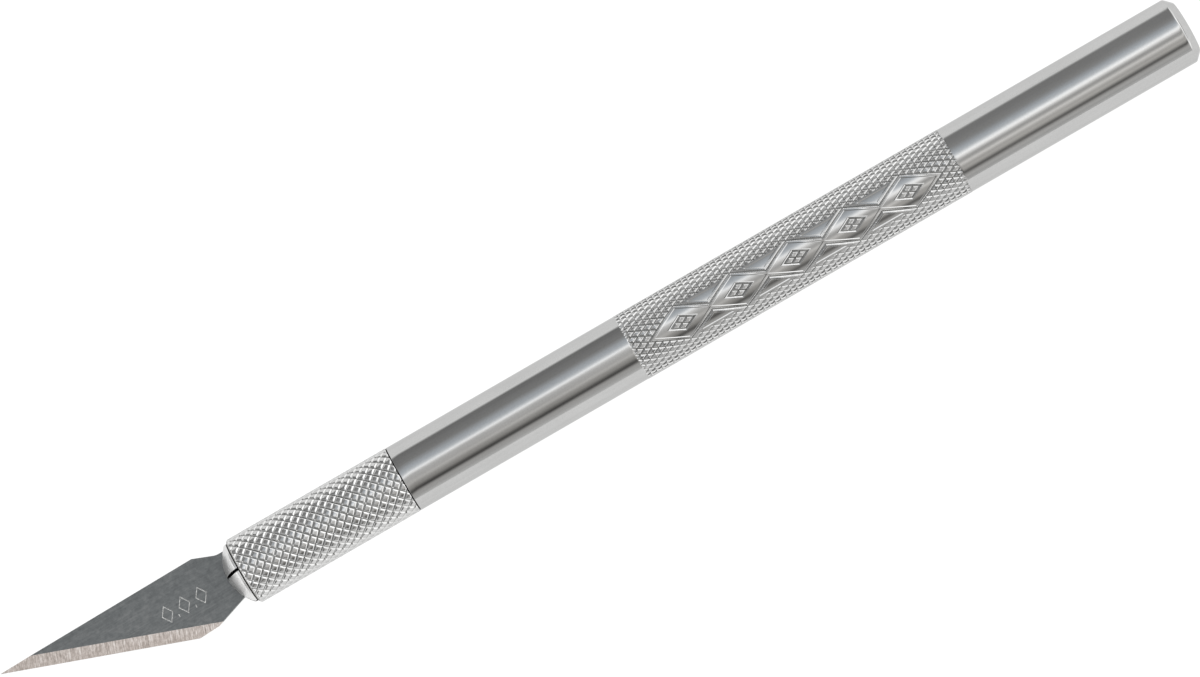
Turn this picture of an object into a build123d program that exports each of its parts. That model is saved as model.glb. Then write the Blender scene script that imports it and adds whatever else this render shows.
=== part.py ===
from build123d import *
import math
import os

# Light-duty hobby craft knife: solid aluminium handle bar with a blind threaded
# socket, knurled clamping sleeve, slotted threaded collet and a pointed blade.
# Millimetres. +X runs from the blade's tip to the rear end, +Y towards the
# blade's spine, +Z up from the surface the knife lies on. The origin is under
# the middle of the knife, on that surface.

# ---------------------------------------------------------------- dimensions
overall_length = 150.14         # blade tip to rear face
crest_radius = 3.99             # knurl crests of sleeve and grip band
bar_radius = 3.97               # smooth handle bar, 5/16 in diameter stock
axis_height = crest_radius      # the knife lies on its knurl crests

sleeve_length = 20.50           # clamping sleeve
sleeve_seam = 0.05              # gap between sleeve and handle shoulder
sleeve_front_chamfer = 0.30
sleeve_rear_chamfer = 0.12
sleeve_bore_radius = 3.20
seat_front_radius = 3.54        # conical seat at the sleeve's mouth
seat_angle = 12.0               # half angle of seat and collet head

band_start = 49.74              # grip band, from the sleeve's front face
band_end = 91.27
handle_rear = 121.00            # rear face, from the sleeve's front face
rear_chamfer = 0.87
front_chamfer = 0.12

socket_thread_depth = 33.0      # end of the handle's full thread, from the sleeve's front
socket_drill_depth = 35.5       # end of the full-width drilled hole

thread_pitch = 25.4 / 32        # number 8, 32 threads per inch, right hand
male_major_radius = 2.03
male_minor_radius = 1.60
female_major_radius = 2.12
female_minor_radius = 1.72
crest_flat = thread_pitch / 8   # width of the flat on a thread crest

head_radius = 3.59              # lip of the collet head, outside the sleeve
head_gap = 0.04                 # lip to sleeve face
head_protrusion = 1.90          # dome apex ahead of the sleeve's front face
dome_radius = 5.00
cone_front_radius = 3.50        # collet cone at the sleeve's front face
finger_radius = 2.90            # straight part of the collet fingers
neck_radius = 2.45              # thinned, springy part of the fingers
neck_start = 8.60
neck_end = 11.90
slot_root = 12.50               # end of the slots, from the sleeve's front face
root_gap = 0.05                 # finger to shank, where they flex
shank_radius = 3.12             # solid shank, running fit in the sleeve's bore
shank_end = 20.05
undercut_radius = 1.52          # relief between shank and thread
undercut_end = 21.05
stem_end = 31.50                # rear end of the collet
dog_length = 0.85               # plain point behind the thread
blade_slot = 0.54               # slot the blade stands in
cross_slot = 0.30               # second slot, square to the blade

blade_thickness = 0.50
bevel_width = 1.40              # ground bevel, square to the cutting edge
edge_thickness = 0.02           # what is left at the cutting edge
tang_end = 11.40                # blade's rear end, inside the collet
tang_top = 3.09
tang_bottom = -2.546

# The sleeve's front face, in the knife's own frame
front_x = overall_length / 2 - handle_rear

os.makedirs("parts", exist_ok=True)


def turned(points):
    """A solid of revolution about the knife's axis from (x, radius) points."""
    face = make_face(Plane.XZ * Polyline(*[(x, r) for x, r in points], close=True))
    return revolve(face, axis=Axis.X)


def turned_face(face):
    return revolve(face, axis=Axis.X)


def thread_cutter(x_start, turns, inner, half_inner, outer, half_outer):
    """A right-hand helical cutter about the X axis, with 30 degree flanks.

    Its section runs from the inner radius to the outer one, and is 2 * half wide there.
    """
    mean = (outer + inner) / 2
    helix = Helix(
        pitch=thread_pitch,
        height=turns * thread_pitch,
        radius=mean,
        center=(x_start, 0, 0),
        direction=(1, 0, 0),
    )
    start = helix @ 0
    radial = Vector(0, start.Y, start.Z).normalized()
    section_plane = Plane(origin=start, x_dir=(1, 0, 0), z_dir=Vector(1, 0, 0).cross(radial))
    section = section_plane * make_face(
        Polyline(
            (-half_inner, inner - mean),
            (-half_outer, outer - mean),
            (half_outer, outer - mean),
            (half_inner, inner - mean),
            close=True,
        )
    )
    return sweep(section, path=helix, is_frenet=True)


def placed(shape):
    """Move a shape built about the X axis, from the sleeve's front, into place."""
    return Pos(front_x, 0, axis_height) * shape


# ------------------------------------------------------------------- handle
shoulder = sleeve_length + sleeve_seam
bar = turned(
    [
        (shoulder, 0),
        (shoulder, bar_radius - front_chamfer),
        (shoulder + front_chamfer, bar_radius),
        (band_start, bar_radius),
        (band_start + (crest_radius - bar_radius), crest_radius),
        (band_end - (crest_radius - bar_radius), crest_radius),
        (band_end, bar_radius),
        (handle_rear - rear_chamfer, bar_radius),
        (handle_rear, bar_radius - rear_chamfer),
        (handle_rear, 0),
    ]
)
mouth = 0.45
socket = turned(
    [
        (shoulder - 1, 0),
        (shoulder - 1, female_major_radius + mouth),
        (shoulder, female_major_radius + mouth - 0.15),
        (shoulder + female_major_radius + mouth - 0.15 - female_minor_radius, female_minor_radius),
        (socket_drill_depth, female_minor_radius),
        (socket_drill_depth + female_minor_radius / math.tan(math.radians(59)), 0),
    ]
)
female_turns = math.ceil((socket_thread_depth - shoulder) / thread_pitch) + 2
female_start = shoulder - 1.5 * thread_pitch
# The groove is cut first, and the drilled hole then opens its inner side
flank = math.tan(math.radians(30))
female_inner = female_minor_radius - 0.12
female_groove = thread_cutter(
    female_start,
    female_turns,
    female_inner,
    crest_flat / 2 + (female_major_radius - female_inner) * flank,
    female_major_radius,
    crest_flat / 2,
)
handle_body = (bar - female_groove) - socket

# ------------------------------------------------------------------- sleeve
seat_slope = math.tan(math.radians(seat_angle))
seat_depth = (seat_front_radius - sleeve_bore_radius) / seat_slope
clamping_sleeve = turned(
    [
        (0, seat_front_radius),
        (0, crest_radius - sleeve_front_chamfer),
        (sleeve_front_chamfer, crest_radius),
        (sleeve_length - sleeve_rear_chamfer, crest_radius),
        (sleeve_length, crest_radius - sleeve_rear_chamfer),
        (sleeve_length, sleeve_bore_radius + 0.12),
        (sleeve_length - 0.12, sleeve_bore_radius),
        (seat_depth, sleeve_bore_radius),
    ]
)

# ------------------------------------------------------------------- collet
stem_blank = turned(
    [
        (slot_root, 0),
        (slot_root, shank_radius - 0.15),
        (slot_root + 0.15, shank_radius),
        (shank_end - 0.2, shank_radius),
        (shank_end, shank_radius - 0.2),
        (shank_end, undercut_radius),
        (undercut_end, undercut_radius),
        (undercut_end + male_major_radius - undercut_radius, male_major_radius),
        (stem_end - dog_length - 0.45, male_major_radius),
        (stem_end - dog_length, undercut_radius),
        (stem_end - 0.2, undercut_radius),
        (stem_end, undercut_radius - 0.2),
        (stem_end, 0),
    ]
)
# The thread is cut from the undercut to past the end. Its groove lies half a
# pitch from the groove in the handle, so that the two threads mesh.
male_first = female_start + 1.5 * thread_pitch
male_turns = math.ceil((stem_end - male_first) / thread_pitch) + 1
above = 0.06
male_groove = thread_cutter(
    male_first,
    male_turns,
    male_minor_radius,
    thread_pitch / 2 - crest_flat / 2 - (male_major_radius - male_minor_radius) * flank,
    male_major_radius + above,
    thread_pitch / 2 - crest_flat / 2 + above * flank,
)
collet_stem = stem_blank - male_groove

cone_length = (cone_front_radius - finger_radius) / seat_slope
lip_front = head_protrusion - (dome_radius - math.sqrt(dome_radius**2 - head_radius**2))
dome_mid_radius = head_radius * 0.55
dome_mid_x = -head_protrusion + dome_radius - math.sqrt(dome_radius**2 - dome_mid_radius**2)
finger_end = slot_root - root_gap
head_outline = Polyline(
    (finger_end, 0),
    (finger_end, finger_radius),
    (neck_end, finger_radius),
    (neck_end - 0.45, neck_radius),
    (neck_start + 0.9, neck_radius),
    (neck_start, finger_radius),
    (cone_length, finger_radius),
    (0, cone_front_radius),
    (-head_gap, cone_front_radius),
    (-head_gap, head_radius),
    (-lip_front, head_radius),
)
dome_arc = ThreePointArc(
    (-lip_front, head_radius), (dome_mid_x, dome_mid_radius), (-head_protrusion, 0)
)
closing = Line((-head_protrusion, 0), (finger_end, 0))
head = turned_face(make_face(Plane.XZ * Curve([head_outline, dome_arc, closing])))

reach = 40
collet_jaws = []
for side_y, side_z in ((1, 1), (-1, 1), (-1, -1), (1, -1)):
    quadrant = Pos(
        0,
        side_y * (cross_slot / 2 + reach / 2),
        side_z * (blade_slot / 2 + reach / 2),
    ) * Box(reach * 2, reach, reach)
    collet_jaws.append(head & quadrant)

# -------------------------------------------------------------------- blade
tip = (-29.14, 3.68)
spine_corner = (-4.32, 4.117)
neck_top = (-1.72, tang_top)
neck_bottom = (-1.12, tang_bottom)
heel_corner = (-5.25, -3.94)
belly_corner = (-7.77, -4.08)
tang_corner = 0.6
outline = make_face(
    Polyline(
        tip,
        spine_corner,
        neck_top,
        (tang_end - tang_corner, tang_top),
        (tang_end, tang_top - tang_corner),
        (tang_end, tang_bottom + tang_corner),
        (tang_end - tang_corner, tang_bottom),
        neck_bottom,
        heel_corner,
        belly_corner,
        close=True,
    )
)


def near(vertices, point):
    return sorted(vertices, key=lambda v: (v.X - point[0]) ** 2 + (v.Y - point[1]) ** 2)[0]


outline = fillet(near(outline.vertices(), neck_top), 1.8)
outline = fillet(near(outline.vertices(), neck_bottom), 1.5)
outline = fillet(near(outline.vertices(), spine_corner), 0.25)
plate = extrude(outline, amount=blade_thickness / 2, both=True)

# The bevel is ground from both sides along the straight cutting edge
edge_x, edge_y = belly_corner[0] - tip[0], belly_corner[1] - tip[1]
edge_length = math.hypot(edge_x, edge_y)
along = Vector(edge_x / edge_length, edge_y / edge_length, 0)
inward = Vector(-along.Y, along.X, 0)      # from the edge towards the spine
slope = (blade_thickness / 2 - edge_thickness / 2) / bevel_width
wedge_plane = Plane(
    origin=Vector(tip[0], tip[1], 0) - along * 10, x_dir=inward, z_dir=along
)
far = bevel_width + 1.0
grind = []
for side in (1, -1):
    # x_dir is inward, so the plane's own y runs along +Z or -Z
    y_sign = side * (1 if wedge_plane.y_dir.Z > 0 else -1)
    profile = make_face(
        Polyline(
            (-2.0, y_sign * (edge_thickness / 2 - 2.0 * slope)),
            (far, y_sign * (edge_thickness / 2 + far * slope)),
            (far, y_sign * 3),
            (-2.0, y_sign * 3),
            close=True,
        )
    )
    grind.append(extrude(wedge_plane * profile, amount=edge_length + 20))
blade = plate - grind[0] - grind[1]

# ------------------------------------------------------------------- export
nodes = {
    "handle_body": handle_body,
    "clamping_sleeve": clamping_sleeve,
    "collet_stem": collet_stem,
    "collet_jaw_1": collet_jaws[0],
    "collet_jaw_2": collet_jaws[1],
    "collet_jaw_3": collet_jaws[2],
    "collet_jaw_4": collet_jaws[3],
    "blade": blade,
}
for name, shape in nodes.items():
    solid = placed(shape)
    solid.label = name
    export_step(solid, f"parts/{name}.step")
    box = solid.bounding_box()
    print(
        f"{name:16s} volume {solid.volume:9.3f} mm3  "
        f"x {box.min.X:8.3f} {box.max.X:8.3f}  "
        f"y {box.min.Y:7.3f} {box.max.Y:7.3f}  "
        f"z {box.min.Z:7.3f} {box.max.Z:7.3f}"
    )
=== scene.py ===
import math

import bpy
import bmesh
import numpy as np
from mathutils import Matrix, Vector
from mathutils.geometry import delaunay_2d_cdt


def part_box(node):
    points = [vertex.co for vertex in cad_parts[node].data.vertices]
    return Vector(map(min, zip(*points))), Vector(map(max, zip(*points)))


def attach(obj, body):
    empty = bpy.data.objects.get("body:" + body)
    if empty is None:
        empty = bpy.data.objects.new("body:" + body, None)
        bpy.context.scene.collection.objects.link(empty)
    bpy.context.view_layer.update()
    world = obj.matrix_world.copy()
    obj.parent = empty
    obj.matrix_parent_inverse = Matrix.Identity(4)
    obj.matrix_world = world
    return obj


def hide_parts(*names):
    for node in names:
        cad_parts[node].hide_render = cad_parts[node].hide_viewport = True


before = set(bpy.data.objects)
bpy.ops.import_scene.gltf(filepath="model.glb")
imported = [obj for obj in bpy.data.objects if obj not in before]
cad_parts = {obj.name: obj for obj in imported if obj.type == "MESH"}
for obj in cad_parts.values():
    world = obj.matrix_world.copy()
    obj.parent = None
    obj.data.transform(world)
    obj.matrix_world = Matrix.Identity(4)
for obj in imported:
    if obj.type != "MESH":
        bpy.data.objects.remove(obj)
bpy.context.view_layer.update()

MM = 0.001

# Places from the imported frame, in metres
sleeve_lo, sleeve_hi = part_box("clamping_sleeve")
handle_lo, handle_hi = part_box("handle_body")
jaw_lo, jaw_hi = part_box("collet_jaw_1")
blade_lo, blade_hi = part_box("blade")
FX = sleeve_lo[0]                              # the sleeve's front face
AZ = (sleeve_lo[2] + sleeve_hi[2]) / 2         # the knife's axis above the floor
CREST = (sleeve_hi[2] - sleeve_lo[2]) / 2 / MM  # knurl crest radius, mm
SLEEVE = (sleeve_hi[0] - FX) / MM              # sleeve length, mm
SHOULDER = (handle_lo[0] - FX) / MM            # handle's front face
REAR = (handle_hi[0] - FX) / MM                # handle's rear face
BAR = CREST - 0.02                             # smooth bar radius


# ------------------------------------------------------------------ mesh help
def place(x, r, a):
    """x mm from the sleeve's front, radius mm, angle about X from +Z towards -Y."""
    x, r, a = np.broadcast_arrays(x, r, a)
    return np.stack([FX + x * MM, -r * MM * np.sin(a), AZ + r * MM * np.cos(a)], -1)


class Skin:
    """Rings of points about the axis, joined into one closed skin."""

    def __init__(self):
        self.points, self.faces, self.count = [], [], 0

    def ring(self, pts):
        start = self.count
        self.points.append(np.asarray(pts, float).reshape(-1, 3))
        self.count += len(self.points[-1])
        return start

    def quads(self, a, b, n, split=None):
        i = np.arange(n)
        k = (i + 1) % n
        if split is None:
            self.faces += np.stack([a + i, a + k, b + k, b + i], 1).tolist()
            return
        # split holds, per quad, whether the diagonal runs from a[i] to b[k]
        s = split
        one = np.stack([a + i, a + k, b + k], 1)[s]
        two = np.stack([a + i, b + k, b + i], 1)[s]
        three = np.stack([a + i, a + k, b + i], 1)[~s]
        four = np.stack([a + k, b + k, b + i], 1)[~s]
        self.faces += np.concatenate([one, two, three, four]).tolist()

    def reduce(self, a, n, b, m):
        """Join a ring of n points to one of m points, where n is a multiple of m."""
        k = n // m
        for j in range(m):
            for t in range(k):
                i = j * k + t
                if t < k - 1 or k == 1:
                    pass
                self.faces.append([a + i, a + (i + 1) % n, b + (j if t < k / 2 else (j + 1) % m)])
            mid = j * k + int(math.ceil(k / 2))
            self.faces.append([a + mid % n, b + (j + 1) % m, b + j])

    def cap(self, a, n, centre):
        c = self.ring([centre])
        for i in range(n):
            self.faces.append([a + i, a + (i + 1) % n, c])


def build(name, points, faces, sharp=30):
    mesh = bpy.data.meshes.new(name)
    mesh.from_pydata(np.asarray(points).tolist(), [], faces)
    bm = bmesh.new()
    bm.from_mesh(mesh)
    bmesh.ops.recalc_face_normals(bm, faces=bm.faces)
    bm.to_mesh(mesh)
    bm.free()
    mesh.validate()
    for p in mesh.polygons:
        p.use_smooth = True
    mesh.set_sharp_from_angle(angle=math.radians(sharp))
    obj = bpy.data.objects.new(name, mesh)
    bpy.context.scene.collection.objects.link(obj)
    return obj


def smooth(t):
    t = np.clip(t, 0, 1)
    return t * t * (3 - 2 * t)


def wobble(seed, *coords):
    """A small smooth field made of fixed sine waves, between -1 and 1."""
    rng = np.random.RandomState(seed)
    total = 0
    for _ in range(7):
        phase = rng.uniform(0, 2 * math.pi)
        arg = phase
        for c in coords:
            arg = arg + c * rng.uniform(-1, 1)
        total = total + np.sin(arg)
    return total / 7


def groove(u, flank=0.165, shoulder=0.10):
    """Height from 0 in a groove to 1 on the flat land between two grooves."""
    d = np.abs(u - np.round(u))
    # a short soft shoulder where the flank meets the land
    over = np.clip((d - flank) / shoulder, 0, 1)
    return np.where(d < flank, 0.85 * d / flank, 0.85 + 0.15 * (1 - (1 - over) ** 2))


# -------------------------------------------------------------------- handle
BAND0, BAND1 = 49.74, 91.27
BAND_STARTS, BK = 33, 8
BAND_ROWS = 230
band_step = (BAND1 - BAND0) / BAND_ROWS
BAND_PITCH = band_step * BK
NB = BAND_STARTS * BK
ROW_ANGLE = math.radians(15.4)       # middle of the ornament row

BAND_DEPTH = 0.125
# The ornament row is counted in the grip's own rows and columns, so its sides run
# along the mesh: ROW_H columns high each way and ROW_H rows long each way.
ROW_START, ROW_H, ROW_COUNT = 15, 20, 5
ROW_DEPTH = 0.060


def make_handle():
    skin = Skin()
    ang = ROW_ANGLE + np.arange(NB) * 2 * math.pi / NB

    def round_ring(x, r):
        return skin.ring(place(x, r, ang))

    last = None

    def add(x, r):
        nonlocal last
        s = round_ring(x, r)
        if last is not None:
            skin.quads(last, s, NB)
        last = s
        return s

    # front face's outer edge, chamfer and smooth front part
    c = 0.08
    face_edge = add(SHOULDER, BAR - c - 0.03)
    add(SHOULDER + 0.006, BAR - c)
    add(SHOULDER + c - 0.015, BAR - 0.020)
    add(SHOULDER + c + 0.015, BAR - 0.003)
    add(SHOULDER + c + 0.06, BAR)
    for x in np.linspace(SHOULDER + 1.0, BAND0 - 1.0, 14):
        add(x, BAR)
    add(BAND0 - 0.30, BAR)
    add(BAND0 - 0.12, BAR)
    # grip band
    j = np.arange(BAND_ROWS + 1)
    i = np.arange(NB)
    x = BAND0 + j * band_step
    jj, ii = np.meshgrid(j, i, indexing="ij")
    centre = BAND_ROWS // 2
    cu = ii + (jj - centre)
    cv = ii - (jj - centre)
    u, v = cu / BK, cv / BK
    xx = x[:, None] + 0 * u
    aa = ang[None, :] + 0 * u
    # The ornament: a chain of hollow lozenges and, in the notches between them,
    # triangles, sunk flat and smooth into the grip. deep and wedge count mesh lines
    # inwards from each outline.
    ia = (ii + NB // 2) % NB - NB // 2
    jc = jj - ROW_START
    span_rows = 2 * ROW_H * ROW_COUNT
    along = np.abs(jc % (2 * ROW_H) - ROW_H)
    along = np.where(jc < 0, ROW_H - jc, np.where(jc > span_rows, jc - span_rows + ROW_H, along))
    deep = ROW_H - along - np.abs(ia)
    wedge = np.minimum(-deep - 8, ROW_H - np.abs(ia))
    wedge = np.where((jc >= ROW_H) & (jc <= span_rows - ROW_H), wedge, -99)
    rim = (deep == 0) | (deep == 10) | (wedge == 0)
    plain = ((deep >= 1) & (deep <= 9)) | (wedge >= 1)
    collar = ((deep >= -2) & (deep <= 0)) | ((wedge >= -2) & (wedge <= 0))
    depth = BAND_DEPTH * (1 + 0.07 * wobble(3, xx * 1.1, np.cos(aa) * 3, np.sin(aa) * 3))
    cut = np.minimum(groove(u), groove(v))
    cut = np.where(collar, 1.0, cut)
    fade = smooth((xx - BAND0) / 0.28) * smooth((BAND1 - xx) / 0.28)
    rough = 0.012 * wobble(11, xx * 9, aa * 31, np.cos(aa * 7) * 3)
    lower = depth * (1 - cut) + np.abs(rough) * 0.5
    r = BAR + 0.018 * fade * cut - fade * lower
    r = np.where(rim, BAR + 0.012, r)
    r = np.where(plain, BAR - ROW_DEPTH, r)
    r = np.minimum(r, CREST)
    on_u = ((cu[:-1] + 1) % BK) == 0        # quad holding a groove along the a[k]-b[i] diagonal
    on_v = (cv[:-1] % BK) == 0              # along the a[i]-b[k] diagonal
    split = np.where(on_v, True, np.where(on_u, False, (ii[:-1] + jj[:-1]) % 2 == 0))
    special = rim | plain
    special = special[:-1] | special[1:] | np.roll(special, -1, axis=1)[:-1] | np.roll(special, -1, axis=1)[1:]
    ahead = (jc % (2 * ROW_H) < ROW_H) == (ia >= 0)
    split = np.where(special, ahead[:-1], split)
    for n in range(BAND_ROWS + 1):
        s = skin.ring(place(xx[n], r[n], aa[n]))
        if n == 0:
            skin.quads(last, s, NB)
        else:
            skin.quads(last, s, NB, split[n - 1])
        last = s
    # smooth rear part and chamfered rear end
    add(BAND1 + 0.12, BAR)
    add(BAND1 + 0.30, BAR)
    for xr in np.linspace(BAND1 + 1.2, REAR - 2.0, 12):
        add(xr, BAR)
    k = 0.87
    corner = 0.38
    add(REAR - k - 0.40, BAR)
    for t in np.linspace(0, math.radians(45), 7):
        # a small rounding between the bar and the chamfer
        add(REAR - k - corner * math.tan(math.radians(22.5)) + corner * math.sin(t), BAR - corner * (1 - math.cos(t)))
    for t in (0.30, 0.5, 0.75):
        add(REAR - k + k * t, BAR - k * t)
    soft = 0.12
    for t in np.linspace(math.radians(45), math.radians(90), 5):
        xr = REAR - soft * (1 - math.sin(t))
        rr = BAR - k - soft * math.tan(math.radians(22.5)) + soft * math.cos(t)
        add(xr, rr)
    for rr in (2.6, 2.0, 1.3, 0.6):
        add(REAR, rr)
    skin.cap(last, NB, place(REAR, 0.0, 0.0))
    # front face and tapped hole
    m = NB // 4
    inner_ang = ang[::4]
    inner = skin.ring(place(SHOULDER, 3.05, inner_ang))
    skin.reduce(face_edge, NB, inner, m)
    last_in = inner

    def add_in(x, r):
        nonlocal last_in
        s = skin.ring(place(x, r, inner_ang))
        skin.quads(last_in, s, m)
        last_in = s

    add_in(SHOULDER, 2.45)
    pitch = 25.4 / 32
    rows = 6
    hole0, hole1 = SHOULDER, SHOULDER + 14.4
    steps = int((hole1 - hole0) / pitch * rows)
    for n in range(1, steps + 1):
        xn = hole0 + n * pitch / rows
        phase = (xn / pitch - inner_ang / (2 * math.pi)) % 1.0
        d = np.abs(phase - 0.5) * 2
        tooth = np.clip((d - 0.12) / 0.76, 0, 1)
        rr = 1.72 + 0.40 * tooth
        rr = np.maximum(rr, 2.45 - (xn - hole0)) if xn - hole0 < 0.8 else rr
        run_out = smooth((hole1 - 0.6 - xn) / 0.8)
        rr = 1.72 + (rr - 1.72) * run_out
        add_in(xn, rr)
    skin.cap(last_in, m, place(hole1 + 1.0, 0.0, 0.0))
    return build("handle_bar", np.concatenate(skin.points), skin.faces, sharp=24)


# -------------------------------------------------------------------- sleeve
SLEEVE_STARTS, SK = 20, 13
SLEEVE_ROWS = 230
sleeve_step = SLEEVE / SLEEVE_ROWS
NS = SLEEVE_STARTS * SK
SLEEVE_DEPTH = 0.15


def make_sleeve():
    skin = Skin()
    ang = math.radians(3.0) + np.arange(NS) * 2 * math.pi / NS
    last = None

    def add(x, r, split=None):
        nonlocal last
        s = skin.ring(place(x, r, ang))
        if last is not None:
            skin.quads(last, s, NS, split)
        last = s
        return s

    j = np.arange(SLEEVE_ROWS + 1)
    i = np.arange(NS)
    jj, ii = np.meshgrid(j, i, indexing="ij")
    cu, cv = ii + jj, ii - jj
    u, v = cu / SK, cv / SK
    x = j * sleeve_step
    xx = x[:, None] + 0 * u
    aa = ang[None, :] + 0 * u
    depth = SLEEVE_DEPTH * (1 + 0.06 * wobble(5, xx * 1.3, np.cos(aa) * 3, np.sin(aa) * 3))
    cut = np.minimum(groove(u), groove(v))
    rough = 0.010 * wobble(17, xx * 11, aa * 29, np.cos(aa * 5) * 3)
    r = CREST - depth * (1 - cut) - np.abs(rough)
    front = CREST - 0.22 + xx * 1.0
    rear = CREST - 0.05 + (SLEEVE - xx) * 1.0
    r = np.minimum(r, np.minimum(front, rear))
    r = np.minimum(r, CREST)
    on_u = ((cu[:-1] + 1) % SK) == 0
    on_v = (cv[:-1] % SK) == 0
    split = np.where(on_v, True, np.where(on_u, False, (ii[:-1] + jj[:-1]) % 2 == 0))
    first = None
    for n in range(SLEEVE_ROWS + 1):
        if n == 0:
            first = add(x[0], r[0])
        else:
            add(x[n], r[n], split[n - 1])
    # rear face, bore, conical seat and front face
    add(SLEEVE, 3.45)
    add(SLEEVE, 3.33)
    add(SLEEVE - 0.03, 3.27)
    add(SLEEVE - 0.12, 3.20)
    for xb in (SLEEVE - 0.5, 15.0, 10.0, 5.0, 2.4):
        add(xb, 3.20)
    seat_slope = math.tan(math.radians(12.0))
    depth_s = (3.54 - 3.20) / seat_slope
    add(depth_s + 0.05, 3.20)
    add(depth_s - 0.05, 3.20 + 0.05 * seat_slope)
    add(0.06, 3.54 - 0.06 * seat_slope)
    add(0.015, 3.545)
    add(0.0, 3.565)
    skin.quads(last, first, NS)
    return build("knurled_sleeve", np.concatenate(skin.points), skin.faces, sharp=24)


# -------------------------------------------------------------------- collet
HEAD_R, DOME_R, PROUD = 3.59, 5.00, 1.90
CONE_R, FINGER_R, NECK_R = 3.50, 2.90, 2.45
SLOT, CROSS = 0.54, 0.30


def jaw_profile():
    """(x, r) from the dome's apex to the finger's root, in mm."""
    pts = []
    base = DOME_R - math.sqrt(DOME_R**2 - HEAD_R**2)
    lip_front = PROUD - base
    r0 = 0.34
    t0, t1 = math.asin(r0 / DOME_R), math.asin((HEAD_R - 0.07) / DOME_R)
    for t in np.linspace(t0, t1, 22):
        pts.append((-PROUD + DOME_R * (1 - math.cos(t)), DOME_R * math.sin(t)))
    # rounded shoulder between dome and lip
    pts += [
        (-lip_front - 0.005, HEAD_R - 0.030),
        (-lip_front + 0.030, HEAD_R - 0.008),
        (-lip_front + 0.080, HEAD_R),
        (-0.075, HEAD_R),
        (-0.050, HEAD_R - 0.010),
        (-0.040, HEAD_R - 0.035),
        (-0.040, CONE_R + 0.010),
        (-0.030, CONE_R),
    ]
    slope = math.tan(math.radians(12))
    length = (CONE_R - FINGER_R) / slope
    for t in (0.0, 0.33, 0.66, 0.97):
        pts.append((length * t, CONE_R - length * t * slope))
    pts += [(length + 0.15, FINGER_R), (5.5, FINGER_R), (8.45, FINGER_R), (8.75, FINGER_R - 0.06)]
    pts += [(9.3, NECK_R + 0.07), (9.6, NECK_R), (11.35, NECK_R), (11.5, NECK_R + 0.05)]
    pts += [(11.80, FINGER_R - 0.04), (11.92, FINGER_R), (12.42, FINGER_R), (12.45, FINGER_R - 0.03)]
    return pts


def make_jaw(number, side_y, side_z):
    prof = jaw_profile()
    cols = 20
    y0, z0 = CROSS / 2, SLOT / 2
    inner = math.hypot(y0, z0)
    pts, faces = [], []

    def vertex(x, y, z):
        pts.append((FX + x * MM, side_y * y * MM, AZ + side_z * z * MM))
        return len(pts) - 1

    grid = []
    for x, r in prof:
        lo = math.asin(z0 / r)
        hi = math.acos(y0 / r)
        grid.append([vertex(x, r * math.cos(lo + (hi - lo) * c / cols), r * math.sin(lo + (hi - lo) * c / cols)) for c in range(cols + 1)])
    line = [vertex(x, y0, z0) for x, r in prof]
    n = len(prof)
    for a in range(n - 1):
        for c in range(cols):
            faces.append([grid[a][c], grid[a][c + 1], grid[a + 1][c + 1], grid[a + 1][c]])
        # flat on the blade's side, and flat on the cross slot's side
        faces.append([grid[a][0], grid[a + 1][0], line[a + 1], line[a]])
        faces.append([grid[a + 1][cols], grid[a][cols], line[a], line[a + 1]])
    for c in range(cols):
        faces.append([grid[0][c], grid[0][c + 1], line[0]])
        faces.append([grid[-1][c], grid[-1][c + 1], line[-1]])
    obj = build(f"collet_finger_{number}", pts, faces, sharp=35)
    bm = bmesh.new()
    bm.from_mesh(obj.data)
    # break the slot's edges with a small rounding
    rim = []
    slot_edges = set()
    for a in range(n - 1):
        slot_edges.add(frozenset((grid[a][0], grid[a + 1][0])))
        slot_edges.add(frozenset((grid[a][cols], grid[a + 1][cols])))
    bm.verts.ensure_lookup_table()
    for e in bm.edges:
        if frozenset((e.verts[0].index, e.verts[1].index)) in slot_edges:
            rim.append(e)
    bmesh.ops.bevel(bm, geom=rim, offset=0.045 * MM, segments=3, profile=0.5, affect="EDGES", clamp_overlap=True)
    bmesh.ops.recalc_face_normals(bm, faces=bm.faces)
    bm.to_mesh(obj.data)
    bm.free()
    for p in obj.data.polygons:
        p.use_smooth = True
    obj.data.set_sharp_from_angle(angle=math.radians(35))
    return obj


# --------------------------------------------------------------------- blade
TIP = Vector((-29.14, 3.68))
SPINE = Vector((-4.32, 4.117))
NECK_T = Vector((-1.72, 3.09))
NECK_B = Vector((-1.12, -2.546))
HEEL = Vector((-5.25, -3.94))
BELLY = Vector((-7.77, -4.08))
TANG = 11.40
HALF = 0.25


def rounded(points, radii, steps=6):
    """Outline with its corners replaced by arcs."""
    out = []
    n = len(points)
    for k in range(n):
        p, a, b = points[k], points[k - 1], points[(k + 1) % n]
        r = radii[k]
        if not r:
            out.append(p.copy())
            continue
        u, w = (a - p).normalized(), (b - p).normalized()
        half = math.acos(max(-1, min(1, u.dot(w)))) / 2
        t = r / math.tan(half)
        c = p + (u + w).normalized() * (r / math.sin(half))
        s, e = p + u * t, p + w * t
        a0 = math.atan2(s.y - c.y, s.x - c.x)
        a1 = math.atan2(e.y - c.y, e.x - c.x)
        d = (a1 - a0 + math.pi) % (2 * math.pi) - math.pi
        for q in range(steps + 1):
            t_ = a0 + d * q / steps
            out.append(Vector((c.x + r * math.cos(t_), c.y + r * math.sin(t_))))
    return out


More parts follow.
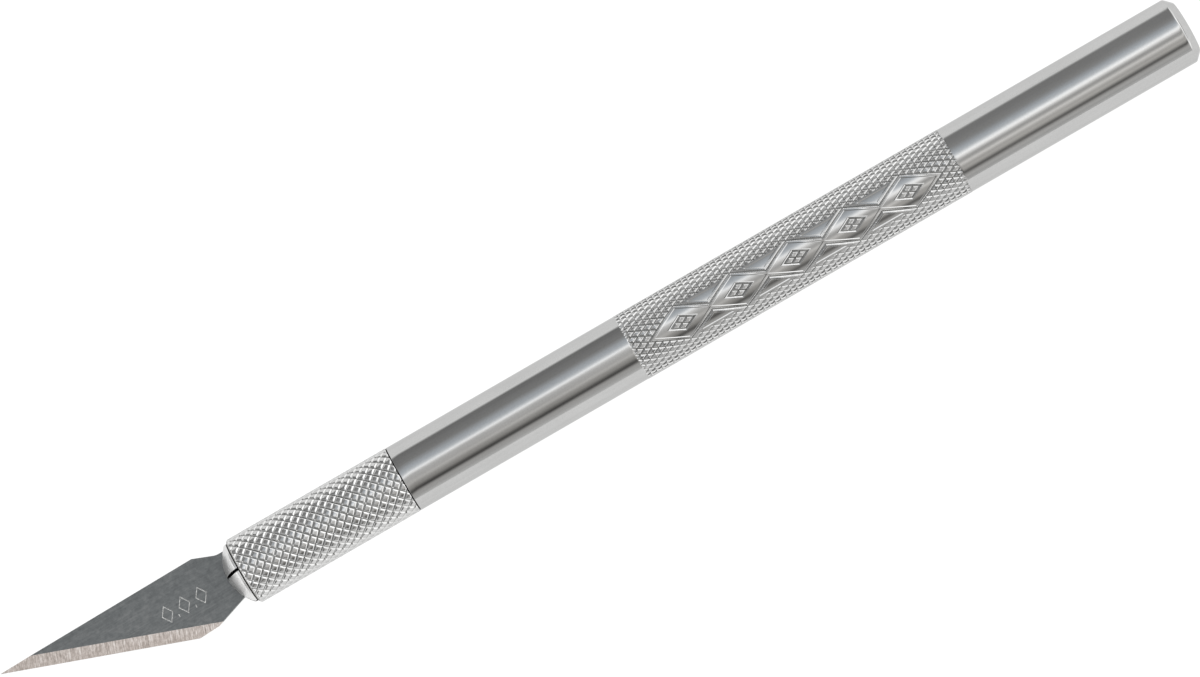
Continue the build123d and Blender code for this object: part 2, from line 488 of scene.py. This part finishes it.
def make_blade():
    corners = [
        TIP, SPINE, NECK_T, Vector((TANG, 3.09)), Vector((TANG, NECK_B.y)), NECK_B, HEEL, BELLY,
    ]
    radii = [0, 0.25, 1.8, 0.7, 0.7, 1.5, 0, 0]
    outline = rounded(corners, radii)
    along = (BELLY - TIP).normalized()
    inward = Vector((-along.y, along.x))
    if inward.y < 0:
        inward = -inward

    def edge_distance(p):
        return (p - TIP).dot(inward)

    width = 1.40
    slope = (HALF - 0.010) / width

    def inset(poly, d):
        """Move every side of the outline inwards by d, corners stay corners."""
        n = len(poly)
        res = []
        area = sum(poly[k].x * poly[(k + 1) % n].y - poly[(k + 1) % n].x * poly[k].y for k in range(n))
        sign = 1 if area > 0 else -1
        for k in range(n):
            p, a, b = poly[k], poly[k - 1], poly[(k + 1) % n]
            e1, e2 = (p - a).normalized(), (b - p).normalized()
            n1 = Vector((-e1.y, e1.x)) * sign
            n2 = Vector((-e2.y, e2.x)) * sign
            d1 = 0.4 * d if is_cut(a, p) else d
            d2 = 0.4 * d if is_cut(p, b) else d
            det = n1.x * n2.y - n1.y * n2.x
            if abs(det) < 1e-3:
                m = (n1 + n2).normalized()
                res.append(p + m * max(d1, d2))
            else:
                qx = (d1 * n2.y - d2 * n1.y) / det
                qy = (n1.x * d2 - n2.x * d1) / det
                res.append(p + Vector((qx, qy)))
        return res

    def is_cut(a, b):
        return abs(edge_distance(a)) < 1e-4 and abs(edge_distance(b)) < 1e-4

    rim = 0.035
    ring1 = inset(outline, rim * 0.35)
    ring2 = inset(outline, rim)

    points2, edges2, kind = [], [], []

    def put(p, k):
        points2.append(Vector((p[0], p[1])))
        kind.append(k)
        return len(points2) - 1

    def loop(poly, k):
        ids = [put(p, k) for p in poly]
        for q in range(len(ids)):
            edges2.append((ids[q], ids[(q + 1) % len(ids)]))
        return ids

    loop(outline, 0)
    loop(ring1, 1)
    loop(ring2, 2)
    # the bevel's upper boundary and the honed strip along the edge
    for d, k in ((0.05, 3), (width - 0.02, 4), (width + 0.02, 5)):
        a = TIP + inward * d - along * 3
        b = TIP + inward * d + along * 30
        ids = [put(a, k), put(b, k)]
        edges2.append((ids[0], ids[1]))
    # a generic stamped mark: three thin-lined lozenges with a short bar between them
    strokes = []
    mark = []
    ux = Vector((1, 0))
    for cx in (-9.60, -7.45, -5.30):
        c = Vector((cx, 0.05))
        q = [c + Vector((0.0, 0.98)), c + Vector((0.66, 0.0)), c + Vector((0.0, -0.98)), c + Vector((-0.66, 0.0))]
        mark.append(q)
    for cx in (-8.52, -6.37):
        strokes.append((Vector((cx, -0.62)), Vector((cx, -0.86))))
    for q in mark:
        outer = [q[k] for k in range(4)]
        cen = sum(q, Vector((0, 0))) / 4

        def scaled(f):
            return [cen + (p - cen) * f for p in outer]

        loop(scaled(1.10), 6)
        loop(scaled(1.00), 7)
        loop(scaled(0.90), 6)
    for a, b in strokes:
        w = 0.055
        box = [a + Vector((-w, w)), a + Vector((w, w)), b + Vector((w, -w)), b + Vector((-w, -w))]
        loop(box, 6)
        ids = [put(a, 7), put(b, 7)]
        edges2.append((ids[0], ids[1]))

    verts, edges, faces, ov, oe, of_ = delaunay_2d_cdt(points2, edges2, [], 0, 1e-6)
    poly = outline

    def inside(p):
        c = False
        n = len(poly)
        for k in range(n):
            a, b = poly[k], poly[(k + 1) % n]
            if (a.y > p.y) != (b.y > p.y) and p.x < (b.x - a.x) * (p.y - a.y) / (b.y - a.y) + a.x:
                c = not c
        return c

    def near_rim(p):
        """Distance to the outline's sides other than the cutting edge."""
        best = 9.0
        n = len(poly)
        for k in range(n):
            a, b = poly[k], poly[(k + 1) % n]
            if is_cut(a, b):
                continue
            ab = b - a
            t = max(0, min(1, (p - a).dot(ab) / ab.length_squared))
            best = min(best, (p - (a + ab * t)).length)
        return best

    keep = []
    for f in faces:
        c = sum((verts[k] for k in f), Vector((0, 0))) / len(f)
        if inside(c):
            keep.append(list(f))
    used = sorted({k for f in keep for k in f})
    index = {k: n for n, k in enumerate(used)}
    heights = []
    for k in used:
        p = verts[k]
        d = edge_distance(p)
        h = min(HALF, 0.010 + max(d, 0) * slope)
        if width - 0.05 < d < width + 0.05:
            h = HALF - 0.0016
        labels = {kind[o] for o in ov[k]}
        if 7 in labels:
            h -= 0.035
        e = near_rim(p)
        if e < 0.004:
            h = max(h - 0.020, min(h, 0.006))
        elif e < rim * 0.35 + 0.006:
            h = max(h - 0.007, min(h, 0.006))
        heights.append(h)
    pts, faces3, ground = [], [], []
    count = len(used)
    for sgn in (1, -1):
        for k, h in zip(used, heights):
            p = verts[k]
            pts.append((FX + p.x * MM, p.y * MM, AZ + sgn * h * MM))
    for f in keep:
        c = sum((verts[k] for k in f), Vector((0, 0))) / len(f)
        g = edge_distance(c) < width
        stamped = any(
            0.90 < abs(c.x - q[0].x) / 0.66 + abs(c.y - q[1].y) / 0.98 < 1.10 for q in mark
        ) or any(
            abs(c.x - p0.x) < 0.056 and p1.y - 0.056 < c.y < p0.y + 0.056 for p0, p1 in strokes
        )
        g = 2 if stamped else int(g)
        a = [index[k] for k in f]
        faces3.append(a)
        ground.append(g)
        faces3.append([k + count for k in reversed(a)])
        ground.append(g)
    # side walls where the two skins' borders stand apart
    border = {}
    for f in keep:
        for q in range(len(f)):
            e = (f[q], f[(q + 1) % len(f)])
            border[frozenset(e)] = None if frozenset(e) in border else e
    for key, e in border.items():
        if e is None:
            continue
        a, b = index[e[0]], index[e[1]]
        faces3.append([b, a, a + count, b + count])
        mid = (verts[e[0]] + verts[e[1]]) / 2
        ground.append(int(edge_distance(mid) < width * 0.98))
    obj = build("blade_body", pts, faces3, sharp=12)
    for p, g in zip(obj.data.polygons, ground):
        p.material_index = g
    return obj


# ----------------------------------------------------------------- materials
class Tree:
    """A few short calls for building a node tree."""

    def __init__(self, tree):
        self.t = tree
        tree.nodes.clear()

    def node(self, kind, **settings):
        n = self.t.nodes.new(kind)
        for k, v in settings.items():
            setattr(n, k, v)
        return n

    def link(self, value, socket):
        if isinstance(value, bpy.types.NodeSocket):
            self.t.links.new(value, socket)
        elif value is not None:
            socket.default_value = value

    def math(self, op, a, b=None, c=None, clamp=False):
        n = self.node("ShaderNodeMath", operation=op, use_clamp=clamp)
        for value, socket in zip((a, b, c), n.inputs):
            self.link(value, socket)
        return n.outputs[0]

    def noise(self, vector, scale, detail=3.0, rough=0.55, distortion=0.0, kind="3D"):
        n = self.node("ShaderNodeTexNoise", noise_dimensions=kind)
        self.link(vector, n.inputs["Vector"])
        n.inputs["Scale"].default_value = scale
        n.inputs["Detail"].default_value = detail
        n.inputs["Roughness"].default_value = rough
        n.inputs["Distortion"].default_value = distortion
        return n.outputs["Fac"]

    def ramp(self, fac, stops, mode="LINEAR"):
        n = self.node("ShaderNodeValToRGB")
        n.color_ramp.interpolation = mode
        el = n.color_ramp.elements
        while len(el) < len(stops):
            el.new(1.0)
        for e, (pos, col) in zip(el, stops):
            e.position = pos
        for e, (pos, col) in zip(el, stops):
            e.position = pos
            e.color = (*col, 1) if isinstance(col, tuple) else (col, col, col, 1)
        self.link(fac, n.inputs["Fac"])
        return n.outputs["Color"]

    def span(self, value, a, b, c, d, clamp=True):
        n = self.node("ShaderNodeMapRange", clamp=clamp)
        self.link(value, n.inputs["Value"])
        for k, v in zip(("From Min", "From Max", "To Min", "To Max"), (a, b, c, d)):
            n.inputs[k].default_value = v
        return n.outputs["Result"]

    def mix(self, fac, a, b, blend="MIX"):
        n = self.node("ShaderNodeMix", data_type="RGBA", blend_type=blend)
        self.link(fac, n.inputs["Factor"])
        for value, socket in ((a, n.inputs["A"]), (b, n.inputs["B"])):
            if isinstance(value, tuple) and len(value) == 3:
                value = (*value, 1)
            self.link(value, [s for s in n.inputs if s.name == socket.name and s.type == "RGBA"][0])
        return [s for s in n.outputs if s.type == "RGBA"][0]

    def mapped(self, vector, scale=(1, 1, 1), rotation=(0, 0, 0), location=(0, 0, 0)):
        n = self.node("ShaderNodeMapping")
        self.link(vector, n.inputs["Vector"])
        n.inputs["Scale"].default_value = scale
        n.inputs["Rotation"].default_value = rotation
        n.inputs["Location"].default_value = location
        return n.outputs["Vector"]

    def bump(self, height, strength, distance, normal=None):
        n = self.node("ShaderNodeBump")
        self.link(height, n.inputs["Height"])
        n.inputs["Strength"].default_value = strength
        n.inputs["Distance"].default_value = distance
        if normal is not None:
            self.link(normal, n.inputs["Normal"])
        return n.outputs["Normal"]


def metal(name, anisotropy=0.0, tangent_axis=None):
    """A new material with a metal shader; returns its tree, shader and object coordinates."""
    mat = bpy.data.materials.new(name)
    mat.use_nodes = True
    t = Tree(mat.node_tree)
    out = t.node("ShaderNodeOutputMaterial")
    sh = t.node("ShaderNodeBsdfPrincipled")
    t.t.links.new(sh.outputs[0], out.inputs["Surface"])
    sh.inputs["Metallic"].default_value = 1.0
    if anisotropy:
        sh.inputs["Anisotropic"].default_value = anisotropy
        tan = t.node("ShaderNodeTangent", direction_type="RADIAL", axis=tangent_axis)
        t.t.links.new(tan.outputs[0], sh.inputs["Tangent"])
    co = t.node("ShaderNodeTexCoord").outputs["Object"]
    return mat, t, sh, co


def radius_of(t, co):
    """Distance from the knife's axis, in metres."""
    sep = t.node("ShaderNodeSeparateXYZ")
    t.link(co, sep.inputs[0])
    z = t.math("SUBTRACT", sep.outputs["Z"], AZ)
    return t.math("SQRT", t.math("ADD", t.math("POWER", sep.outputs["Y"], 2.0), t.math("POWER", z, 2.0))), sep


def painted_seam_shade(t, colour, rough, sh, *masks):
    """Painted shade inside the thin seams, slots and gaps between parts: a near-black colour mixed in by masks from 0
    to 1.
    """
    m = masks[0]
    for extra in masks[1:]:
        m = t.math("MAXIMUM", m, extra)
    # painted shade: near-black colour and a rougher surface where the masks are set
    t.link(t.mix(m, colour, (0.020, 0.019, 0.018)), sh.inputs["Base Color"])
    t.link(t.math("MAXIMUM", rough, t.math("MULTIPLY", m, 0.55)), sh.inputs["Roughness"])


def edge_tint(sh, grey=0.80):
    sh.inputs["Specular Tint"].default_value = (grey, grey, grey, 1)


def bar_material():
    mat, t, sh, co = metal("turned_bar")
    edge_tint(sh)
    sep = t.node("ShaderNodeSeparateXYZ")
    t.link(co, sep.inputs[0])
    # drawn-bar streaks along the axis, broken up slowly along the length
    streak = t.noise(t.mapped(co, (22, 1500, 1500)), 1.0, 4.0, 0.6)
    fine = t.noise(t.mapped(co, (260, 5200, 5200)), 1.0, 2.0, 0.5)
    rings = t.noise(t.mapped(co, (9000, 40, 40)), 1.0, 3.0, 0.7)
    cloud = t.noise(t.mapped(co, (160, 300, 300)), 1.0, 3.0, 0.5)
    sand = t.noise(t.mapped(co, (5200, 5200, 5200)), 1.0, 2.0, 0.6)
    tone = t.math("ADD", t.math("MULTIPLY", streak, 0.40), t.math("MULTIPLY", cloud, 0.25))
    tone = t.math("ADD", tone, t.math("MULTIPLY", sand, 0.35))
    colour = t.mix(t.span(tone, 0.36, 0.64, 0, 1), (0.475, 0.475, 0.47), (0.545, 0.545, 0.54))
    speck = t.span(t.noise(t.mapped(co, (2600, 2600, 2600)), 1.0, 2.0, 0.6), 0.66, 0.74, 0.0, 1.0)
    colour = t.mix(t.math("MULTIPLY", speck, 0.20), colour, (0.40, 0.39, 0.38))
    rough = t.math("ADD", t.span(fine, 0.3, 0.7, 0.055, 0.085), t.span(cloud, 0.3, 0.7, 0.0, 0.03))
    front = FX + SHOULDER * MM
    # painted shade on the handle's front face and the start of its chamfer, in the gap against the sleeve
    painted_seam_shade(t, colour, rough, sh, t.span(sep.outputs["X"], front + 0.075 * MM, front + 0.085 * MM, 1, 0))
    h = t.math("ADD", t.math("MULTIPLY", rings, 0.4), t.math("MULTIPLY", fine, 0.3))
    h = t.math("ADD", h, t.math("MULTIPLY", sand, 0.3))
    t.link(t.bump(h, 0.25, 0.000003), sh.inputs["Normal"])
    return mat


def knurl_material(name, root, crest, front=None, tone=1.0):
    """Rolled metal: lands are burnished and smoother, groove flanks are bright but rougher, and the colour darkens
    towards the groove roots as painted shade.
    """
    mat, t, sh, co = metal(name)
    edge_tint(sh, 0.72)
    r, sep = radius_of(t, co)
    height = t.span(r, root * MM, crest * MM, 0, 1)
    grain = t.noise(t.mapped(co, (3800, 3800, 3800)), 1.0, 3.0, 0.6)
    patch = t.noise(t.mapped(co, (420, 420, 420)), 1.0, 3.0, 0.5)
    # painted shade and wear: the groove depth sets the painted shade, and the patch noise shifts it at random
    shade_and_wear = t.math("ADD", height, t.math("MULTIPLY", t.math("SUBTRACT", patch, 0.5), 0.5))
    # painted shade: the colour falls to its darkest at the groove roots
    shades = [
        (0.0, (0.27, 0.27, 0.26)),
        (0.28, (0.62, 0.62, 0.615)),
        (0.75, (0.66, 0.66, 0.655)),
        (1.0, (0.57, 0.57, 0.565)),
    ]
    colour = t.ramp(shade_and_wear, [(at, tuple(v * tone for v in c)) for at, c in shades])
    colour = t.mix(t.math("MULTIPLY", t.span(grain, 0.35, 0.65, 0, 1), 0.15), colour, (0.42, 0.42, 0.41))
    rough = t.math("SUBTRACT", t.span(grain, 0.3, 0.7, 0.13, 0.22), t.math("MULTIPLY", height, 0.05))
    # painted shade in the sleeve's bore and inner front face, below 3.6 mm radius
    inside = t.span(r, 3.60 * MM, 3.63 * MM, 1, 0)
    masks = [inside]
    if front is not None:
        # painted shade on the sleeve's rear face, against the handle
        masks.append(t.span(sep.outputs["X"], front - 0.02 * MM, front - 0.01 * MM, 0, 1))
    painted_seam_shade(t, colour, rough, sh, *masks)
    t.link(t.bump(grain, 0.30, 0.000010), sh.inputs["Normal"])
    return mat


def collet_material():
    mat, t, sh, co = metal("turned_collet")
    edge_tint(sh, 0.85)
    r, sep = radius_of(t, co)
    # concentric tool marks on the dome, rings on the rest
    marks = t.node("ShaderNodeCombineXYZ")
    t.link(t.math("MULTIPLY", r, 9000.0), marks.inputs[0])
    t.link(t.math("MULTIPLY", sep.outputs["X"], 5000.0), marks.inputs[1])
    lathe = t.noise(marks.outputs[0], 1.0, 3.0, 0.6)
    cloud = t.noise(t.mapped(co, (700, 700, 700)), 1.0, 3.0, 0.5)
    colour = t.mix(t.span(cloud, 0.3, 0.7, 0, 1), (0.74, 0.74, 0.735), (0.84, 0.84, 0.835))
    rough = t.math("ADD", t.span(lathe, 0.3, 0.7, 0.38, 0.46), t.span(cloud, 0.3, 0.7, 0.0, 0.06))
    # painted shade on the lip's rear face and the cone inside the sleeve
    lip = t.math("MULTIPLY", t.span(sep.outputs["X"], FX - 0.17 * MM, FX - 0.14 * MM, 0, 1),
                 t.span(sep.outputs["X"], FX + 2.0 * MM, FX + 2.2 * MM, 1, 0))
    off_z = t.math("ABSOLUTE", t.math("SUBTRACT", sep.outputs["Z"], AZ))
    # painted shade on the flat faces of the cross slot and the blade slot
    cross = t.span(t.math("ABSOLUTE", sep.outputs["Y"]), 0.170 * MM, 0.180 * MM, 1, 0)
    wide = t.span(off_z, 0.285 * MM, 0.295 * MM, 1, 0)
    painted_seam_shade(t, colour, rough, sh, lip, cross, wide)
    t.link(t.bump(lathe, 0.3, 0.000006), sh.inputs["Normal"])
    return mat


EDGE_ANGLE = math.atan2(BELLY.y - TIP.y, BELLY.x - TIP.x)


def blade_flat_material():
    mat, t, sh, co = metal("rolled_blade_steel")
    lines = t.noise(t.mapped(co, (220, 5200, 5200), (0, 0, 0)), 1.0, 3.0, 0.6)
    mottle = t.noise(t.mapped(co, (1500, 1900, 1500)), 1.0, 4.0, 0.7)
    broad = t.noise(t.mapped(co, (130, 260, 200)), 1.0, 3.0, 0.5)
    mixv = t.math("ADD", t.math("MULTIPLY", mottle, 0.55), t.math("ADD", t.math("MULTIPLY", lines, 0.30), t.math("MULTIPLY", broad, 0.15)))
    colour = t.ramp(mixv, [(0.36, (0.143, 0.149, 0.149)), (0.5, (0.188, 0.196, 0.196)), (0.64, (0.245, 0.251, 0.249))])
    t.link(colour, sh.inputs["Base Color"])
    t.link(t.span(mixv, 0.3, 0.7, 0.36, 0.46), sh.inputs["Roughness"])
    t.link(t.bump(t.math("ADD", t.math("MULTIPLY", lines, 0.5), t.math("MULTIPLY", mottle, 0.5)), 0.3, 0.000006), sh.inputs["Normal"])
    return mat


def blade_ground_material():
    mat, t, sh, co = metal("ground_blade_edge")
    turned_ = t.mapped(co, (1, 1, 1), (0, 0, -EDGE_ANGLE))
    grind = t.noise(t.mapped(turned_, (6500, 500, 500)), 1.0, 3.0, 0.7)
    coarse = t.noise(t.mapped(turned_, (2300, 90, 90)), 1.0, 2.0, 0.6)
    fleck = t.noise(t.mapped(turned_, (4200, 2600, 2600)), 1.0, 3.0, 0.7)
    tone = t.math("ADD", t.math("MULTIPLY", grind, 0.50), t.math("MULTIPLY", coarse, 0.15))
    tone = t.math("ADD", tone, t.math("MULTIPLY", fleck, 0.35))
    colour = t.ramp(tone, [(0.38, (0.37, 0.32, 0.287)), (0.5, (0.625, 0.553, 0.508)), (0.62, (0.87, 0.815, 0.775))])
    t.link(colour, sh.inputs["Base Color"])
    t.link(t.span(tone, 0.3, 0.7, 0.44, 0.32), sh.inputs["Roughness"])
    t.link(t.bump(tone, 0.45, 0.00001), sh.inputs["Normal"])
    return mat


def blade_stamp_material():
    mat, t, sh, co = metal("stamped_line")
    grain = t.noise(t.mapped(co, (4000, 4000, 4000)), 1.0, 2.0, 0.6)
    t.link(t.ramp(grain, [(0.38, (0.36, 0.36, 0.355)), (0.62, (0.66, 0.66, 0.65))]), sh.inputs["Base Color"])
    t.link(t.span(grain, 0.3, 0.7, 0.30, 0.42), sh.inputs["Roughness"])
    return mat


def floor_material():
    mat = bpy.data.materials.new("pale_floor")
    mat.use_nodes = True
    t = Tree(mat.node_tree)
    out = t.node("ShaderNodeOutputMaterial")
    sh = t.node("ShaderNodeBsdfPrincipled")
    t.t.links.new(sh.outputs[0], out.inputs["Surface"])
    co = t.node("ShaderNodeTexCoord").outputs["Object"]
    soft = t.noise(t.mapped(co, (6, 6, 6)), 1.0, 2.0, 0.5)
    t.link(t.ramp(soft, [(0.3, (0.115, 0.115, 0.115)), (0.7, (0.125, 0.125, 0.125))]), sh.inputs["Base Color"])
    sh.inputs["Roughness"].default_value = 0.9
    sh.inputs["Specular IOR Level"].default_value = 0.1
    sh.inputs["Emission Color"].default_value = (1, 1, 1, 1)
    sh.inputs["Emission Strength"].default_value = FLOOR_GLOW
    return mat


FLOOR_GLOW = 0.95

# ---- assembly
mats = {
    "bar": bar_material(),
    "band": knurl_material("rolled_grip", BAR - BAND_DEPTH, CREST, tone=0.905),
    "sleeve": knurl_material("knurled_sleeve_metal", CREST - SLEEVE_DEPTH, CREST, FX + SLEEVE * MM, tone=1.04),
    "collet": collet_material(),
    "flat": blade_flat_material(),
    "ground": blade_ground_material(),
    "stamp": blade_stamp_material(),
}

handle = make_handle()
handle.data.materials.append(mats["bar"])
handle.data.materials.append(mats["band"])
centres = np.empty(len(handle.data.polygons) * 3)
handle.data.polygons.foreach_get("center", centres)
cx = (centres.reshape(-1, 3)[:, 0] - FX) / MM
rad = np.hypot(centres.reshape(-1, 3)[:, 1], centres.reshape(-1, 3)[:, 2] - AZ) / MM
band_faces = (cx > BAND0) & (cx < BAND1) & (rad > 3.3) & (np.abs(rad - (BAR - ROW_DEPTH)) > 0.002)
handle.data.polygons.foreach_set("material_index", band_faces.astype(np.int32))
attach(handle, "handle")
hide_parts("handle_body")

sleeve = make_sleeve()
sleeve.data.materials.append(mats["sleeve"])
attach(sleeve, "sleeve")
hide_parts("clamping_sleeve")

for n, (sy, sz) in enumerate(((1, 1), (-1, 1), (-1, -1), (1, -1)), 1):
    jaw = make_jaw(n, sy, sz)
    jaw.data.materials.append(mats["collet"])
    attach(jaw, f"jaw_{n}")
    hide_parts(f"collet_jaw_{n}")

blade = make_blade()
blade.data.materials.append(mats["flat"])
blade.data.materials.append(mats["ground"])
blade.data.materials.append(mats["stamp"])
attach(blade, "blade")
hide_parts("blade")

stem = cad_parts["collet_stem"]
for slot_ in stem.material_slots:
    slot_.material = mats["collet"]

# --------------------------------------------------------------------- stage
bm = bmesh.new()
bmesh.ops.create_grid(bm, x_segments=8, y_segments=8, size=3.0)
floor_mesh = bpy.data.meshes.new("floor")
bm.to_mesh(floor_mesh)
bm.free()
floor = bpy.data.objects.new("floor", floor_mesh)
bpy.context.scene.collection.objects.link(floor)
floor.data.materials.append(floor_material())
floor.location.z = -0.00002

# The studio: soft strips and flags that run along the knife's length. Angles are
# about X, from straight up (0) towards -Y (positive) and +Y (negative).
world = bpy.data.worlds.new("studio")
bpy.context.scene.world = world
world.use_nodes = True
w = Tree(world.node_tree)
direction = w.node("ShaderNodeTexCoord").outputs["Generated"]
sep = w.node("ShaderNodeSeparateXYZ")
w.link(direction, sep.inputs[0])
neg_y = w.math("MULTIPLY", sep.outputs["Y"], -1.0)
angle = w.math("ARCTAN2", neg_y, sep.outputs["Z"])
shear = w.math("MULTIPLY", w.math("MINIMUM", w.math("MAXIMUM", sep.outputs["X"], -0.2), 0.2), math.radians(60))
angle = w.math("ADD", angle, shear)
along = w.span(angle, -math.pi / 2, math.pi / 2, 0, 1)
along_rear = w.math("SUBTRACT", along, 4.5 / 180)
GAIN = 1.12

# (angle, radiance): one set as seen in the front half, one in the rear half
FRONT = [
    (-90, 0.97), (-82, 0.97), (-78, 0.55), (-74, 0.22), (-70, 0.23), (-50, 0.27), (-38, 0.31),
    (-30, 0.42), (-23, 0.55), (-16, 0.65), (-10, 0.78), (-6, 1.00), (-3, 1.30), (-0.5, 1.34), (3, 1.02),
    (6, 0.74), (10, 0.67), (22, 0.62), (28, 0.67), (32, 0.58), (36, 0.44), (43, 0.36), (48, 0.24),
    (52, 0.13), (56, 0.085), (59, 0.13), (63, 0.36), (67, 0.51), (78, 0.55), (90, 0.75),
]
REAR = [
    (-90, 0.97), (-84, 0.97), (-80, 0.55), (-75, 0.28), (-50, 0.30), (-38, 0.34),
    (-31, 0.40), (-24, 0.53), (-17, 0.66), (-11, 0.78), (-7, 0.98), (-4, 1.25), (-1, 1.48), (3, 1.48), (6, 1.20),
    (9, 0.92), (12, 0.68), (15, 0.52), (19, 0.50), (22, 0.60), (26, 0.85), (29, 0.95), (33, 0.75), (38, 0.56),
    (46, 0.60), (50, 0.46), (56, 0.18), (60, 0.17), (66, 0.46), (72, 0.60), (82, 0.52), (90, 0.75),
]


def strip_tint(a, v):
    cool = max(0.0, 1 - abs(a + 18) / 20)
    warm = max(0.0, 1 - abs(a - 45) / 45)
    v *= GAIN
    return (v * (1 - 0.07 * cool + 0.03 * warm), v, v * (1 + 0.08 * cool - 0.04 * warm))


front_bands = w.ramp(along, [((a + 90) / 180, strip_tint(a, v)) for a, v in FRONT])
rear_bands = w.ramp(along_rear, [((a + 90) / 180, strip_tint(a, v)) for a, v in REAR])
bands = w.mix(w.span(sep.outputs["X"], 0.005, 0.055, 0.0, 1.0), front_bands, rear_bands)
# at the knife's ends the room is lighter: a bright window wall beyond the rear end,
# a quieter one beyond the tip
high_right = w.ramp(sep.outputs["Z"], [(0.0, 1.35), (0.12, 1.65), (0.75, 1.65), (0.95, 0.9)])
high_left = w.ramp(sep.outputs["Z"], [(0.0, 0.80), (0.10, 0.40), (0.35, 0.20), (0.90, 0.45)])
# both walls are brightest over the knife's axis and fall off to the sides
wall_right = w.ramp(along, [((a + 90) / 180, (v, v, v)) for a, v in [
    (-90, 1.0), (-64, 0.80), (-40, 0.88), (-16, 1.12), (0, 1.22), (16, 1.12), (38, 0.82), (62, 0.74), (90, 1.0)]])
wall_left = w.ramp(along, [((a + 90) / 180, (v, v, v)) for a, v in [
    (-90, 1.0), (-50, 0.80), (-18, 1.35), (0, 1.55), (18, 1.35), (50, 0.80), (90, 1.0)]])


def product(a, b):
    mix = w.node("ShaderNodeVectorMath")
    mix.operation = "MULTIPLY"
    w.link(a, mix.inputs[0])
    w.link(b, mix.inputs[1])
    return mix.outputs["Vector"]


high_right = product(high_right, wall_right)
high_left = product(high_left, wall_left)
right_in = w.span(sep.outputs["X"], 0.16, 0.40, 0.0, 1.0)
left_in = w.span(sep.outputs["X"], -0.14, -0.34, 0.0, 1.0)
room = w.mix(right_in, w.mix(left_in, bands, high_left), high_right)
# a soft box straight beyond the tip, low down
tip_box = w.math("MULTIPLY", w.span(sep.outputs["X"], -0.76, -0.88, 0.0, 1.0), w.span(sep.outputs["Z"], 0.46, 0.32, 0.0, 1.0))
room = w.mix(tip_box, room, (1.7, 1.7, 1.7))
# and a quiet patch straight beyond the rear end
quiet = w.math("MULTIPLY", w.span(sep.outputs["X"], 0.80, 0.88, 0.0, 1.0), w.span(sep.outputs["Z"], 0.05, 0.12, 0.0, 1.0))
room = w.mix(quiet, room, (0.60, 0.60, 0.60))
shine = w.node("ShaderNodeBackground")
w.link(room, shine.inputs["Color"])
pale = w.node("ShaderNodeBackground")
pale.inputs["Color"].default_value = (0.97, 0.97, 0.97, 1)
path = w.node("ShaderNodeLightPath")
pick = w.node("ShaderNodeMixShader")
w.link(path.outputs["Is Camera Ray"], pick.inputs[0])
w.t.links.new(shine.outputs[0], pick.inputs[1])
w.t.links.new(pale.outputs[0], pick.inputs[2])
wout = w.node("ShaderNodeOutputWorld")
w.t.links.new(pick.outputs[0], wout.inputs["Surface"])

# A broad soft overhead light that brightens the floor
area = bpy.data.lights.new("soft_top", "AREA")
area.shape = "DISK"
area.size = 1.4
area.energy = 6.0
top = bpy.data.objects.new("soft_top", area)
top.location = (0.0, 0.05, 1.3)
bpy.context.scene.collection.objects.link(top)
top.visible_glossy = False
top.visible_camera = False

# -------------------------------------------------------------------- camera
cam = bpy.data.cameras.new("camera")
cam.lens = 208.5
cam.sensor_width = 36.0
cam.clip_start, cam.clip_end = 0.05, 20.0
eye = bpy.data.objects.new("camera", cam)
bpy.context.scene.collection.objects.link(eye)
tilt = math.radians(81.0)
rise = math.radians(30.016)
towards = Vector((0.0, -math.cos(tilt), math.sin(tilt)))
upward = Vector((0.0, math.sin(tilt), math.cos(tilt)))
axis_x = Vector((1.0, 0.0, 0.0))
target = Vector((FX + 47.29 * MM, 0.0, AZ)) + upward * (2.603 * MM)
right = axis_x * math.cos(rise) - upward * math.sin(rise)
over = axis_x * math.sin(rise) + upward * math.cos(rise)
basis = Matrix((right, over, towards)).transposed().to_4x4()
basis.translation = target + towards * 0.772
eye.matrix_world = basis
bpy.context.scene.camera = eye
bpy.context.scene.view_settings.view_transform = "Standard"
